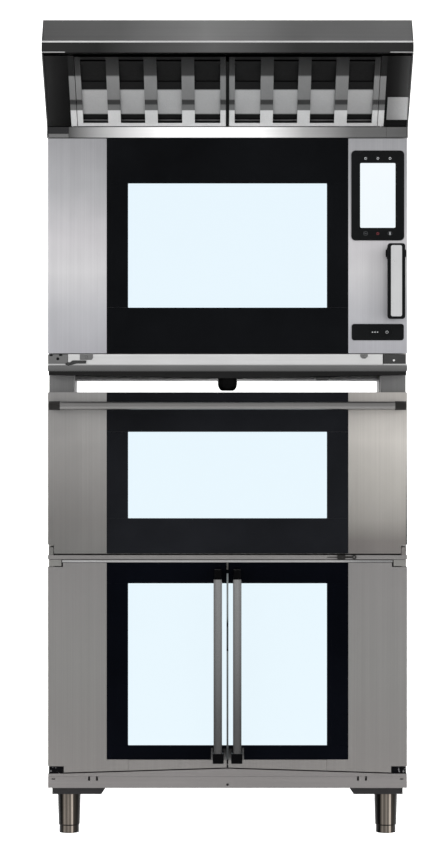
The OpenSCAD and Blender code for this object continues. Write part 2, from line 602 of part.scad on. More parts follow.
// flat bar on two end mounts
module upright_bar(x0, x1, y0, y1, z0, z1, r)
  translate([0, 0, z0]) linear_extrude(z1 - z0) rrect(x0, x1, y0, y1, r);
module prover_handle() {
  color(steel) upright_bar(13, 33, yh - 8, yh + 6, z_prov + 88.6, z_deck - 44, 3);
  color(dark) {
    upright_bar(14, 31, yh - 8, yd, z_deck - 43.8, z_deck - 21, 3);
    upright_bar(9, 35, yh - 8, yd, z_prov + 65.2, z_prov + 88.4, 3);
  }
}
module prover_right_shell() color(steel) door_half();
module prover_left_shell() color(steel) mirror([1, 0, 0]) door_half();
module prover_right_glass() color(black) glass_half();
module prover_left_glass() color(black) mirror([1, 0, 0]) glass_half();
module prover_right_window() color(pale) window_half();
module prover_left_window() color(pale) mirror([1, 0, 0]) window_half();
module prover_right_handle() prover_handle();
module prover_left_handle() mirror([1, 0, 0]) prover_handle();

// ---- stand ----
lx = hw - 50;
ly = [yd + 45, yb - 60];
module leg_plates() color(dark) for (m = [0, 1]) mirror([m, 0, 0]) {
  front_slab([[hw - 12, leg_h], [hw - 12, z_prov], [hw - 139, z_prov], [hw - 129, leg_h]],
    ly[0] - 41, ly[0] + 69);
  box(hw - 139, hw - 12, ly[1] - 55, ly[1] + 55, leg_h, z_prov);
}
module leg_tubes() color(steel) for (m = [-1, 1], y = ly) difference() {
  translate([m * lx, y, 19]) cylinder(h = leg_h - 19, r1 = leg_r - 2.2, r2 = leg_r);
  rod_z(m * lx, y, 18, leg_h - 6, 12 + run_gap);
}
module foot(m, y) color(dull) {
  rod_z(m * lx, y, 0, 18.8, pad_r);
  rod_z(m * lx, y, 18, leg_h - 16, 12);
}
module foot_front_left() foot(-1, ly[0]);
module foot_front_right() foot(1, ly[0]);
module foot_back_left() foot(-1, ly[1]);
module foot_back_right() foot(1, ly[1]);

// ---- groups shared by the cabinets ----
module insulation() color(wool) {
  oven_wool();
  deck_wool();
  prover_wool();
}
module door_gaskets() color(black) {
  oven_seal();
  deck_seal();
  prover_seal();
}
module tray_racks() color(steel) {
  oven_rails();
  prover_rails();
}
module fan_motors() color(dark) {
  blower_motor();
  oven_motors();
  prover_motor();
}

hood_canopy();
hood_filter_frame();
hood_filter_left();
hood_filter_right();
hood_blower_box();
hood_blower_wheel();
hood_collar();
oven_casing();
oven_liner();
oven_baffle();
oven_fan_left();
oven_fan_right();
oven_heaters();
oven_fascia();
oven_drip_trough();
oven_hinge_blocks();
oven_risers();
oven_door_shell();
oven_door_glass();
oven_door_window();
oven_bezels();
oven_screen();
oven_handle_bracket();
oven_handle_loop();
oven_handle_face();
deck_casing();
deck_liner();
deck_stone();
deck_heaters();
deck_sill();
deck_hinge_blocks();
deck_vent_lever();
deck_door_shell();
deck_door_glass();
deck_door_window();
deck_handle_bar();
deck_handle_ends();
prover_casing();
prover_liner();
prover_fan();
prover_fascia();
prover_hinge_blocks();
prover_left_shell();
prover_left_glass();
prover_left_window();
prover_left_handle();
prover_right_shell();
prover_right_glass();
prover_right_window();
prover_right_handle();
insulation();
door_gaskets();
tray_racks();
fan_motors();
leg_plates();
leg_tubes();
foot_front_left();
foot_front_right();
foot_back_left();
foot_back_right();
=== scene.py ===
import json
import math

import bmesh
import bpy
from mathutils import Matrix, Vector


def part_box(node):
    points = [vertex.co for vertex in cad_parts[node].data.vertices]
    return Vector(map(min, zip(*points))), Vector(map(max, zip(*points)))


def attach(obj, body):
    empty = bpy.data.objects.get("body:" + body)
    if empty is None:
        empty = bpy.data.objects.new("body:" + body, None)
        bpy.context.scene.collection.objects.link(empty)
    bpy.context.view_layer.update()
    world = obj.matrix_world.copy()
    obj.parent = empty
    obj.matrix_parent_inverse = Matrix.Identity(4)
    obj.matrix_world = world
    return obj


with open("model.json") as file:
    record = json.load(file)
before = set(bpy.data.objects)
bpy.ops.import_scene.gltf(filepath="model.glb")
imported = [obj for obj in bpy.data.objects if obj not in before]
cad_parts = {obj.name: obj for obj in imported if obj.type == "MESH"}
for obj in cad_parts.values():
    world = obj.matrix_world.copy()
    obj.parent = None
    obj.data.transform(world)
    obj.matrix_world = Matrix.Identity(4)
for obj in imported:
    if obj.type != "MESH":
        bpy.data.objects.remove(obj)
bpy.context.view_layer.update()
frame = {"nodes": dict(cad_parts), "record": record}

NODES = frame["nodes"]
RECORD = frame["record"]
BODY_OF = {node: body for body, nodes in RECORD["behaviour"]["bodies"].items() for node in nodes}
scene = bpy.context.scene


# ------------------------------------------------------------------ places in the shared frame, in metres
def ends(node, axis):
    """Where a node starts and ends along X, Y or Z."""
    low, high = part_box(node)
    k = "XYZ".index(axis)
    return low[k], high[k]


HALF = ends("oven_casing", "X")[1]
DOOR_FRONT = ends("oven_door_glass", "Y")[0]
DOOR_BACK = ends("oven_door_shell", "Y")[1]

HOOD_FRONT = ends("hood_canopy", "Y")[0]
HOOD_FOOT, HOOD_TOP = ends("hood_canopy", "Z")
LIP_TOP = HOOD_TOP - 0.059
LIP_FOOT = LIP_TOP - 0.025
CARRIER_SIDE = ends("hood_filter_frame", "X")[1]
FILTER_FOOT = ends("hood_filter_right", "Z")[0]
FILTER_INNER, FILTER_OUTER = ends("hood_filter_right", "X")
# the filters lean forwards: this is the foot of their front plane, and its angle from upright
LEAN_Y = DOOR_FRONT - 0.002
LEAN_Z = FILTER_FOOT
LEAN = math.atan2(0.160, 0.147)

OVEN_FOOT = ends("oven_casing", "Z")[0]
OVEN_DOOR_FOOT = ends("oven_door_shell", "Z")[0]
FASCIA_LEFT, FASCIA_RIGHT = ends("oven_fascia", "X")
FASCIA_FRONT = ends("oven_fascia", "Y")[0] + 0.008
FASCIA_FOOT, FASCIA_TOP = ends("oven_fascia", "Z")
TROUGH_TOP = ends("oven_drip_trough", "Z")[1]

DECK_SIDE = ends("deck_door_shell", "X")[1]
DECK_FOOT = ends("deck_door_shell", "Z")[0]

PROVER_FOOT, PROVER_TOP = ends("prover_casing", "Z")
PROVER_DOOR_TOP = ends("prover_left_shell", "Z")[1]
PROVER_PIVOT_MIDDLE = sum(ends("prover_hinge_blocks", "Z")) / 2
PROVER_GLASS_FOOT = ends("prover_right_glass", "Z")[0]
SEAM = ends("prover_right_glass", "X")[0]
BAR_X = sum(ends("prover_right_handle", "X")) / 2
BAR_FOOT, BAR_TOP = ends("prover_right_handle", "Z")

LEG_X = sum(ends("foot_front_right", "X")) / 2
LEG_FOOT, LEG_TOP = ends("leg_tubes", "Z")


# ------------------------------------------------------------------ colours
def lin(v):
    """One channel as seen, 0 to 255, in linear light."""
    v = v / 255.0
    return v / 12.92 if v <= 0.04045 else ((v + 0.055) / 1.055) ** 2.4


def rgb(r, g, b):
    return (lin(r), lin(g), lin(b), 1.0)


def grey(v):
    return rgb(v, v, v)


def shade(colour, factor):
    return (colour[0] * factor, colour[1] * factor, colour[2] * factor, 1.0)


def across(stops):
    """Places as parts of the half width, -1 at the left side and 1 at the right, turned into metres."""
    return [(part * HALF, tone) for part, tone in stops]


def past(place, stops):
    """Distances past a place, turned into places in the shared frame."""
    return [(place + distance, tone) for distance, tone in stops]


# ------------------------------------------------------------------ node building
class Mat:
    """A material with a Principled shader, and short ways to add nodes.

    x, y and z are the place on the part, in metres of the shared frame.
    """

    def __init__(self, name):
        self.m = bpy.data.materials.new(name)
        self.m.use_nodes = True
        self.nt = self.m.node_tree
        self.b = self.nt.nodes["Principled BSDF"]
        self.co = self.new("ShaderNodeTexCoord").outputs["Object"]
        parts = self.new("ShaderNodeSeparateXYZ")
        self.link(self.co, parts.inputs["Vector"])
        self.x, self.y, self.z = parts.outputs

    def new(self, kind, **values):
        n = self.nt.nodes.new(kind)
        for k, v in values.items():
            setattr(n, k, v)
        return n

    def link(self, a, b):
        self.nt.links.new(a, b)

    def stretched(self, stretch):
        n = self.new("ShaderNodeMapping")
        n.inputs["Scale"].default_value = stretch
        self.link(self.co, n.inputs["Vector"])
        return n.outputs["Vector"]

    def noise(self, scale, stretch=(1, 1, 1), detail=3.0, rough=0.55):
        n = self.new("ShaderNodeTexNoise")
        n.inputs["Scale"].default_value = scale
        n.inputs["Detail"].default_value = detail
        n.inputs["Roughness"].default_value = rough
        self.link(self.stretched(stretch), n.inputs["Vector"])
        return n.outputs["Fac"]

    def voronoi(self, scale, stretch=(1, 1, 1)):
        n = self.new("ShaderNodeTexVoronoi")
        n.inputs["Scale"].default_value = scale
        self.link(self.stretched(stretch), n.inputs["Vector"])
        return n.outputs["Distance"]

    def calc(self, op, a, b=0.0):
        n = self.new("ShaderNodeMath", operation=op)
        for socket, v in zip(n.inputs, (a, b)):
            if isinstance(v, (int, float)):
                socket.default_value = v
            else:
                self.link(v, socket)
        return n.outputs["Value"]

    def times(self, a, b):
        return self.calc("MULTIPLY", a, b)

    def absolute(self, value):
        return self.calc("ABSOLUTE", value)

    def over(self, value, limit):
        return self.calc("GREATER_THAN", value, limit)

    def below(self, value, limit):
        return self.calc("LESS_THAN", value, limit)

    def between(self, value, low, high):
        return self.times(self.over(value, low), self.below(value, high))

    def span(self, value, a, b, low, high):
        """a where the value is at or under low, b where it is at or over high, and evenly between."""
        n = self.new("ShaderNodeMapRange")
        n.inputs["From Min"].default_value = low
        n.inputs["From Max"].default_value = high
        n.inputs["To Min"].default_value = a
        n.inputs["To Max"].default_value = b
        self.link(value, n.inputs["Value"])
        return n.outputs["Result"]

    def mix(self, factor, a, b, mode="MIX"):
        n = self.new("ShaderNodeMix", data_type="RGBA", blend_type=mode)
        if isinstance(factor, float):
            n.inputs["Factor"].default_value = factor
        else:
            self.link(factor, n.inputs["Factor"])
        for name, v in (("A", a), ("B", b)):
            socket = [i for i in n.inputs if i.name == name and i.type == "RGBA"][0]
            if isinstance(v, tuple):
                socket.default_value = v
            else:
                self.link(v, socket)
        return [o for o in n.outputs if o.type == "RGBA"][0]

    def scale_by(self, colour, factor):
        return self.mix(1.0, colour, factor, "MULTIPLY")

    def tones(self, value, stops):
        """Tones along a value; stops are (place, tone), and a tone is 0 to 255 as seen, or three of those."""
        low, high = stops[0][0], stops[-1][0]
        n = self.new("ShaderNodeValToRGB")
        elements = n.color_ramp.elements
        while len(elements) < len(stops):
            elements.new(0.5)
        for element, (place, tone) in zip(elements, stops):
            element.position = (place - low) / (high - low)
            element.color = rgb(*tone) if isinstance(tone, tuple) else grey(tone)
        self.link(self.span(value, 0.0, 1.0, low, high), n.inputs["Fac"])
        return n.outputs["Color"]

    def bump(self, height, strength, distance):
        n = self.new("ShaderNodeBump")
        n.inputs["Strength"].default_value = strength
        n.inputs["Distance"].default_value = distance
        self.link(height, n.inputs["Height"])
        self.link(n.outputs["Normal"], self.b.inputs["Normal"])

    def feed(self, **sockets):
        for name, socket in sockets.items():
            self.link(socket, self.b.inputs[name.replace("_", " ")])

    def set(self, **values):
        for name, v in values.items():
            self.b.inputs[name.replace("_", " ")].default_value = v


# ------------------------------------------------------------------ kinds of material
GRAIN = {"x": (1.6, 420, 420), "y": (420, 1.6, 420), "z": (420, 420, 1.6)}


def brushed(name, ground, rough=0.34, grain="z", gain=1.0):
    """Satin stainless steel: fine streaks along the grain, faint clouding and smudges.

    The ground is one colour, or a paint function that works it out from the place on the part.
    """
    m = Mat(name)
    fine = m.noise(1.0, GRAIN[grain], detail=4.0, rough=0.6)
    coarse = m.noise(0.16, GRAIN[grain], detail=2.0)
    cloud = m.noise(2.3, detail=2.0)
    smudge = m.noise(9.0, detail=5.0, rough=0.7)
    colour = ground(m) if callable(ground) else ground
    streaks = m.span(fine, 1.03 * gain, 0.92 * gain, 0.3, 0.75)
    streaks = m.times(streaks, m.span(coarse, 0.985, 1.015, 0.4, 0.7))
    streaks = m.times(streaks, m.span(cloud, 1.03, 0.95, 0.3, 0.7))
    m.feed(Base_Color=m.scale_by(colour, streaks))
    m.feed(Roughness=m.span(smudge, rough - 0.03, rough + 0.08, 0.35, 0.75))
    m.bump(fine, 0.10, 0.0002)
    m.set(Metallic=1.0, Anisotropic=0.4)
    return m.m


def painted(name, base, rough=0.45, metallic=0.0, grit=900.0, specular=0.35):
    """Powder coat or moulded plastic: fine orange peel, faint dust and scuffs."""
    m = Mat(name)
    peel = m.noise(grit, detail=2.0)
    dust = m.noise(14.0, detail=6.0, rough=0.65)
    scuff = m.noise(60.0, (1, 1, 6), detail=4.0)
    colour = m.mix(m.span(dust, 0.0, 0.45, 0.45, 0.8), base, shade(base, 1.7))
    colour = m.mix(m.span(scuff, 0.0, 0.3, 0.6, 0.8), colour, shade(base, 0.6))
    m.feed(Base_Color=colour, Roughness=m.span(dust, rough, rough + 0.108, 0.4, 0.7))
    m.bump(peel, 0.12, 0.0003)
    m.set(Metallic=metallic, Specular_IOR_Level=specular)
    return m.m


def black_glass(name, base, specular):
    """Dark printed glass with a faint film, wiped upwards."""
    m = Mat(name)
    film = m.noise(3.0, detail=5.0, rough=0.6)
    wipe = m.noise(2.0, (6, 6, 40), detail=3.0)
    colour = m.mix(m.span(film, 0.0, 1.0, 0.35, 0.7), shade(base, 0.7), shade(base, 1.35))
    m.feed(Base_Color=colour, Roughness=m.span(wipe, 0.05, 0.13, 0.45, 0.7))
    m.set(Specular_IOR_Level=specular)
    return m.m


def glowing_glass(name, base, foot_tone, top_tone, foot, top, strength):
    """Glass that glows by emission, a painted glow standing in for a lit chamber behind the window: a soft
    vertical change of tone and a faint film on the pane.
    """
    m = Mat(name)
    film = m.noise(4.0, detail=4.0, rough=0.6)
    colour = m.mix(m.span(m.z, 0.0, 1.0, foot, top), foot_tone, top_tone)
    colour = m.mix(m.span(film, 0.0, 0.25, 0.45, 0.8), colour, shade(base, 0.96))
    m.feed(Emission_Color=colour, Base_Color=m.scale_by(colour, (0.03, 0.03, 0.03, 1.0)),
           Roughness=m.span(film, 0.06, 0.14, 0.4, 0.7))
    m.set(Emission_Strength=strength, Specular_IOR_Level=0.1)
    return m.m


def granular(name, base, dark):
    """Pressed stone: pale grains between darker ones, and clouding."""
    m = Mat(name)
    cell = m.voronoi(260.0)
    cloud = m.noise(6.0, detail=5.0)
    colour = m.mix(m.span(cell, 0.0, 0.7, 0.1, 0.6), dark, base)
    colour = m.mix(m.span(cloud, 0.0, 0.5, 0.35, 0.75), colour, shade(base, 0.7))
    m.feed(Base_Color=colour)
    m.bump(cell, 0.5, 0.001)
    m.set(Roughness=0.9)
    return m.m


def wool(name, base):
    """Mineral wool: rough fibres and tufts."""
    m = Mat(name)
    fibre = m.noise(240.0, (1, 1, 0.2), detail=5.0, rough=0.7)
    tuft = m.noise(18.0, detail=4.0)
    colour = m.mix(m.span(fibre, 0.0, 0.8, 0.35, 0.7), base, shade(base, 0.55))
    colour = m.mix(m.span(tuft, 0.0, 0.4, 0.4, 0.8), colour, shade(base, 1.2))
    m.feed(Base_Color=colour)
    m.bump(fibre, 0.8, 0.002)
    m.set(Roughness=1.0)
    return m.m


# ------------------------------------------------------------------ paint: how the ground changes over a part
def rising(foot, stops):
    """A ground whose tone changes with the height above a foot."""
    return lambda m: m.tones(m.z, past(foot, stops))


def case_paint(m):
    """Oven casing, with painted shade on its dark lower edge over the gap to the deck oven."""
    return m.mix(m.below(m.z, OVEN_FOOT + 0.0015), rgb(150, 149, 149), rgb(44, 43, 43))


# the lip, the sloped visor and the bright lower band each carry a painted reflection of one soft light
LIP = across([(-1.0, 50), (-0.70, 45), (-0.07, 100), (0.37, 60), (1.0, 50)])
SLOPE = across([(-1.0, 72), (-0.58, 82), (-0.12, 118), (0.35, 90), (1.0, 90)])
BAND = across([(-0.88, 85), (-0.37, 275), (0.19, 275), (0.42, 190), (0.70, 115), (0.98, 100)])


def hood_paint(m):
    """Slope, lip, bright fold, bright hem and bright lower band: painted reflections shaded across the width,
    with painted highlights on the fold and the hem.
    """
    lip = m.below(m.y, HOOD_FRONT + 0.0006)
    colour = m.mix(lip, m.tones(m.x, SLOPE), m.tones(m.x, LIP))
    fold = m.times(m.between(m.z, LIP_TOP - 0.0008, LIP_TOP + 0.003), m.below(m.y, HOOD_FRONT + 0.003))
    colour = m.mix(fold, colour, grey(226))
    hem = m.times(m.between(m.z, LIP_FOOT, LIP_FOOT + 0.0026), m.over(m.absolute(m.x), HALF - 0.054))
    colour = m.mix(m.times(hem, lip), colour, grey(205))
    band = m.times(m.between(m.z, HOOD_FOOT - 0.001, HOOD_FOOT + 0.026), m.below(m.y, DOOR_FRONT + 0.0015))
    colour = m.mix(band, colour, m.tones(m.x, BAND))
    # painted reflection: a dark block at the left end of the lower band
    corner = m.times(band, m.below(m.x, 0.0518 - HALF))
    return m.mix(corner, colour, rgb(52, 52, 53))


# painted reflections and shade up the slanted filters: on the front strips, and on the sheet behind their
# slots
STRIP_TONES = past(FILTER_FOOT, [
    (0.0, 205), (0.0325, 205), (0.034, 110), (0.044, 105), (0.0465, 60),
    (0.054, 60), (0.0565, 120), (0.102, 125), (0.1055, 60), (0.145, 35)])
SLOT_TONES = past(FILTER_FOOT, [
    (0.0, 100), (0.013, 90), (0.0138, 170), (0.0152, 170), (0.016, 30),
    (0.0265, 26), (0.0285, 160), (0.076, 165), (0.0788, 30), (0.142, 22)])
STRIP_SHEET = 0.0085
FILTER_RIM = 0.0131
STRIP_MIDDLE = (FILTER_INNER + FILTER_OUTER) / 2 + 0.0005
STRIP_PITCH = 0.0879
STRIP_HALF = 0.0151


def filter_paint(m):
    """Slanted baffles: a painted reflection bright low on the strips, painted shade dark under the lip, and
    painted shade in the black slots behind them.
    """
    run = m.calc("SUBTRACT", m.y, LEAN_Y)
    rise = m.calc("SUBTRACT", m.z, LEAN_Z)
    depth = m.calc("ADD", m.times(run, math.cos(LEAN)), m.times(rise, math.sin(LEAN)))
    up = m.calc("SUBTRACT", m.times(rise, math.cos(LEAN)), m.times(run, math.sin(LEAN)))
    front = m.tones(m.z, STRIP_TONES)
    colour = m.mix(m.over(depth, STRIP_SHEET), front, m.tones(m.z, SLOT_TONES))
    # painted shade on the flanks of the strips
    flank = m.times(m.between(depth, 0.0006, STRIP_SHEET), m.over(m.z, FILTER_FOOT + 0.0072))
    colour = m.mix(flank, colour, m.scale_by(front, grey(92)))
    # painted shade deep inside the filter
    colour = m.mix(m.over(depth, 0.013), colour, grey(30))
    side = m.absolute(m.x)
    metal = m.calc("ADD", m.below(side, FILTER_INNER + FILTER_RIM), m.over(side, FILTER_OUTER - FILTER_RIM))
    for k in (-1, 0, 1):
        middle = STRIP_MIDDLE + k * STRIP_PITCH
        metal = m.calc("ADD", metal, m.between(side, middle - STRIP_HALF, middle + STRIP_HALF))
    # painted shade in the gaps between the strips at the top of the filter
    gap = m.times(m.over(up, 0.1845), m.below(metal, 0.5))
    return m.mix(gap, colour, grey(27))


def slot_shade_paint(m):
    """Dark sheet behind the slots with a woven mesh texture: painted shade for the dark inside of the filter.
    """
    return m.mix(m.span(m.voronoi(420.0, (1, 0.4, 1)), 0.0, 1.0, 0.1, 0.6), grey(24), grey(31))


# painted reflections across the dark cheeks, brighter at the outer ends
CHEEK = across([(-1.0, 44), (-0.94, 30), (-0.88, 22), (0.88, 20), (0.93, 32), (0.972, 56), (1.0, 78)])


def carrier_paint(m):
    """Filter carrier: a bright channel of painted reflections, a black gap of painted shade, then dark cheeks
    with a painted highlight patch on the right and painted shade under it.
    """
    side = m.absolute(m.x)
    patch_foot = FILTER_FOOT + 0.0135
    patch_left = CARRIER_SIDE - 0.049
    patch = m.times(m.between(m.z, patch_foot, patch_foot + 0.047), m.between(m.x, patch_left, CARRIER_SIDE))
    lit = m.tones(m.x, past(patch_left, [(0.0, 128), (0.0245, 150), (0.049, 176)]))
    cheek = m.mix(patch, m.tones(m.x, CHEEK), lit)
    # painted shade under the lit patch
    cheek = m.mix(m.times(m.below(m.z, patch_foot), m.over(m.x, FILTER_OUTER + 0.014)), cheek, grey(24))
    channel = m.mix(m.over(m.z, FILTER_FOOT + 0.104), m.tones(m.z, STRIP_TONES), grey(34))
    colour = m.mix(m.below(side, FILTER_OUTER + 0.0155), cheek, channel)
    colour = m.mix(m.between(side, FILTER_OUTER + 0.0155, FILTER_OUTER + 0.019), colour, grey(20))
    # painted shade inside, next to the filter
    return m.mix(m.below(side, FILTER_OUTER + 0.0005), colour, grey(26))


# tones up the deck door: a dark foot, then a broad highlight
DECK_LEFT = past(DECK_FOOT, [
    (0.0, (130, 129, 127)), (0.08, (138, 136, 134)), (0.27, (168, 166, 164)), (0.386, (158, 157, 156))])
DECK_RIGHT = past(DECK_FOOT, [
    (0.0, (132, 128, 126)), (0.03, (134, 130, 127)), (0.08, (168, 165, 160)),
    (0.27, (220, 216, 210)), (0.386, (192, 188, 184))])


def deck_paint(m):
    """Deck door: a painted reflection paler and warmer on the right, with a dark line of painted shade down
    the lower right edge.
    """
    left = m.scale_by(m.tones(m.z, DECK_LEFT), m.span(m.x, 0.93, 1.04, -0.95 * HALF, -0.72 * HALF))
    right = m.scale_by(m.tones(m.z, DECK_RIGHT), m.span(m.x, 0.86, 1.0, 0.71 * HALF, 0.91 * HALF))
    colour = m.mix(m.span(m.x, 0.0, 1.0, -0.63 * HALF, 0.67 * HALF), left, right)
    fade = m.span(m.z, 1.0, 0.0, DECK_FOOT + 0.03, DECK_FOOT + 0.26)
    edge = m.times(m.over(m.x, DECK_SIDE - 0.0027), fade)
    return m.mix(edge, colour, rgb(34, 33, 32))


def prover_case_paint(m):
    """Prover casing, with a painted highlight on the pale strip over the doors."""
    strip = m.times(m.below(m.y, DOOR_BACK - 0.0005), m.between(m.z, PROVER_DOOR_TOP, PROVER_TOP))
    pale = m.tones(m.x, across([(-1.0, 178), (-0.86, 198), (0.63, 196), (0.744, 162), (1.0, 146)]))
    return m.mix(strip, rgb(168, 167, 167), pale)


def pivot_paint(m):
    """Prover hinge blocks: pale plates above, dark ones with small bright flecks below."""
    fleck = m.over(m.noise(170.0, detail=1.0), 0.63)
    dark = m.mix(fleck, rgb(18, 18, 20), rgb(120, 119, 121))
    return m.mix(m.below(m.z, PROVER_PIVOT_MIDDLE), rgb(150, 149, 146), dark)


def catch_paint(m):
    """Catch plates: darker towards the top, a little paler at the outer end."""
    inner = m.tones(m.z, past(PROVER_GLASS_FOOT, [
        (-0.0195, 142), (-0.0015, 138), (0.0065, 104), (0.0165, 72), (0.0275, 42)]))
    outer = m.tones(m.z, past(PROVER_GLASS_FOOT, [
        (-0.0195, 138), (-0.0035, 128), (0.0105, 96), (0.0275, 78)]))
    return m.mix(m.over(m.absolute(m.x), SEAM + 0.0325), inner, outer)


def bar_paint(m):
    """Prover handle: stippled steel bar with painted shade on its dark flanks and a painted reflection darker
    low down, between black end mounts.
    """
    stops = [(0.014, 72), (0.104, 84), (0.184, 100), (0.324, 122), (0.444, 132)]
    colour = m.tones(m.z, past(BAR_FOOT, stops))
    from_middle = m.absolute(m.calc("SUBTRACT", m.absolute(m.x), BAR_X + 0.0005))
    flanks = m.span(from_middle, 1.12, 0.62, 0.003, 0.010)
    stipple = m.span(m.noise(620.0, detail=2.0), 0.86, 1.12, 0.3, 0.7)
    colour = m.scale_by(colour, m.times(flanks, stipple))
    mounts = m.calc("SUBTRACT", 1.0, m.between(m.z, BAR_FOOT + 0.0233, BAR_TOP - 0.0229))
    return m.mix(mounts, colour, rgb(12, 12, 13))


def trough_paint(m):
    """Drip trough: dark front with a painted highlight paler along its upper edge, and painted shade black
    inside.
    """
    colour = m.mix(m.over(m.z, TROUGH_TOP - 0.014), grey(34), grey(60))
    return m.mix(m.over(m.y, DOOR_FRONT - 0.0018), colour, grey(13))


def leg_paint(m):
    """Polished tube: painted reflections of black edges, grey bands and one bright line, with painted shade
    in a turned groove near the floor and under the plate at the top.
    """
    from_axis = m.calc("SUBTRACT", m.x, m.times(m.calc("SIGN", m.x), LEG_X))
    colour = m.tones(from_axis, [
        (-0.027, 30), (-0.020, 6), (-0.015, 16), (-0.009, 120), (-0.006, 75), (0.001, 120),
        (0.004, 60), (0.009, 190), (0.0115, 60), (0.021, 25), (0.027, 45)])
    colour = m.scale_by(colour, (1.0, 0.87, 0.75, 1.0))
    groove = m.between(m.z, LEG_FOOT - 0.0015, LEG_FOOT + 0.0015)
    colour = m.mix(groove, colour, rgb(30, 29, 28))
    return m.mix(m.over(m.z, LEG_TOP - 0.0015), colour, grey(26))


# ------------------------------------------------------------------ the materials
# the gain of each steel sets how strongly it takes the studio light, so that tones come out as stated
# painted reflections: tones up the oven door (a broad painted highlight), the prover doors and the fascia
OVEN_DOOR_STOPS = [
    (-0.002, (185, 185, 190)), (0.103, (200, 200, 204)), (0.193, (222, 221, 223)),
    (0.273, (216, 214, 217)), (0.393, (187, 187, 190)), (0.513, (166, 166, 169))]
PROVER_DOOR_STOPS = [(0.029, (142, 139, 137)), (0.289, (150, 149, 147)), (0.549, (150, 148, 147))]
FASCIA_STOPS = [
    (-0.001, 92), (0.007, 102), (0.0122, 108), (0.0134, 150), (0.0165, 204), (0.039, 206), (0.0402, 222)]

STEEL_OVEN = brushed("steel_oven", rising(OVEN_DOOR_FOOT, OVEN_DOOR_STOPS), 0.36, "z", 0.78)
STEEL_DECK = brushed("steel_deck", deck_paint, 0.36, "z", 0.75)
STEEL_PROVER = brushed("steel_prover", rising(PROVER_FOOT, PROVER_DOOR_STOPS), 0.38, "z", 0.68)
STEEL_HOOD = brushed("steel_hood", hood_paint, 0.4, "x", 0.78)
STEEL_CASE = brushed("steel_case", case_paint, 0.4, "z", 0.8)
STEEL_SIDE = brushed("steel_side", rgb(150, 149, 149), 0.4, "z", 0.8)
STEEL_STRIP = brushed("steel_strip", prover_case_paint, 0.4, "z", 0.62)
STEEL_FASCIA = brushed("steel_fascia", rgb(137, 134, 133), 0.38, "x", 0.73)
STEEL_SILL = brushed("steel_sill", rgb(123, 121, 120), 0.38, "x", 1.02)
STEEL_PALE = brushed("steel_pale", rising(FASCIA_FOOT, FASCIA_STOPS), 0.34, "x", 0.96)
STEEL_BAR = brushed("steel_bar", rgb(122, 121, 120), 0.3, "x", 0.89)
STEEL_FACE = brushed("steel_face", rgb(203, 203, 204), 0.3, "z", 1.02)
STEEL_HANDLE = brushed("steel_handle", bar_paint, 0.34, "z", 0.87)
STEEL_CATCH = brushed("steel_catch", catch_paint, 0.4, "z", 0.68)
STEEL_INSIDE = brushed("steel_inside", rgb(170, 168, 165), 0.3, "y")
STEEL_LEG = brushed("steel_leg", leg_paint, 0.3, "z", 0.70)
STEEL_PIVOT = brushed("steel_pivot", pivot_paint, 0.4, "x", 0.68)
STEEL_SCREW = brushed("steel_screw", grey(214), 0.28, "x")
FILTER = brushed("filter_steel", filter_paint, 0.46, "z", 0.85)
CARRIER = brushed("filter_carrier", carrier_paint, 0.5, "z", 0.85)
# painted shade: the dark sheets behind the filter slots
DARK_SLOT_SHADE = brushed("slot_shade_sheet", slot_shade_paint, 0.6, "x")
GALV = brushed("galvanised", grey(101), 0.42, "z", 1.22)
PLATED = brushed("plated_casting", grey(104), 0.48, "x")
PRESSED = brushed("pressed_steel", grey(120), 0.42, "x", 0.8)
TROUGH = brushed("trough_metal", trough_paint, 0.6, "x")
DARK = painted("dark_paint", rgb(44, 43, 43), 0.42, 0.3)
GREY = painted("grey_casting", grey(52), 0.5, 0.2, specular=0.1)
PLATE = painted("plate_paint", rgb(30, 29, 30), 0.42, 0.2, specular=0.15)
BLACK = painted("black_plastic", rgb(13, 14, 15), 0.5, specular=0.05)
ENDS = painted("black_ends", rgb(30, 29, 28), 0.5, specular=0.08)
RUBBER = painted("rubber", grey(26), 0.75, grit=500.0, specular=0.2)
GLASS_OVEN = black_glass("black_glass_oven", rgb(11, 12, 14), 0.02)
GLASS_DECK = black_glass("black_glass_deck", rgb(19, 20, 23), 0.03)
GLASS_PROVER = black_glass("black_glass_prover", rgb(4, 5, 9), 0.01)
# painted glow: the windows emit light themselves, though no lamp is behind them
WINDOW = glowing_glass("painted_glow_window", rgb(231, 245, 252), rgb(231, 245, 252), rgb(230, 244, 252),
                   ends("prover_left_window", "Z")[0], ends("oven_door_window", "Z")[1], 0.975)
SCREEN = glowing_glass("lit_screen", rgb(242, 249, 253), rgb(240, 248, 252), rgb(243, 250, 254),
                   *ends("oven_screen", "Z"), 0.97)
STONE = granular("stone_sole", rgb(196, 184, 160), rgb(150, 138, 118))
WOOL = wool("mineral_wool", rgb(205, 190, 140))
MARK_WHITE = painted("mark_white", rgb(186, 188, 190), 0.5, grit=300.0)
MARK_DIM = painted("mark_dim", rgb(70, 72, 74), 0.5, grit=300.0)
MARK_RED = painted("mark_red", rgb(104, 32, 40), 0.5, grit=300.0)

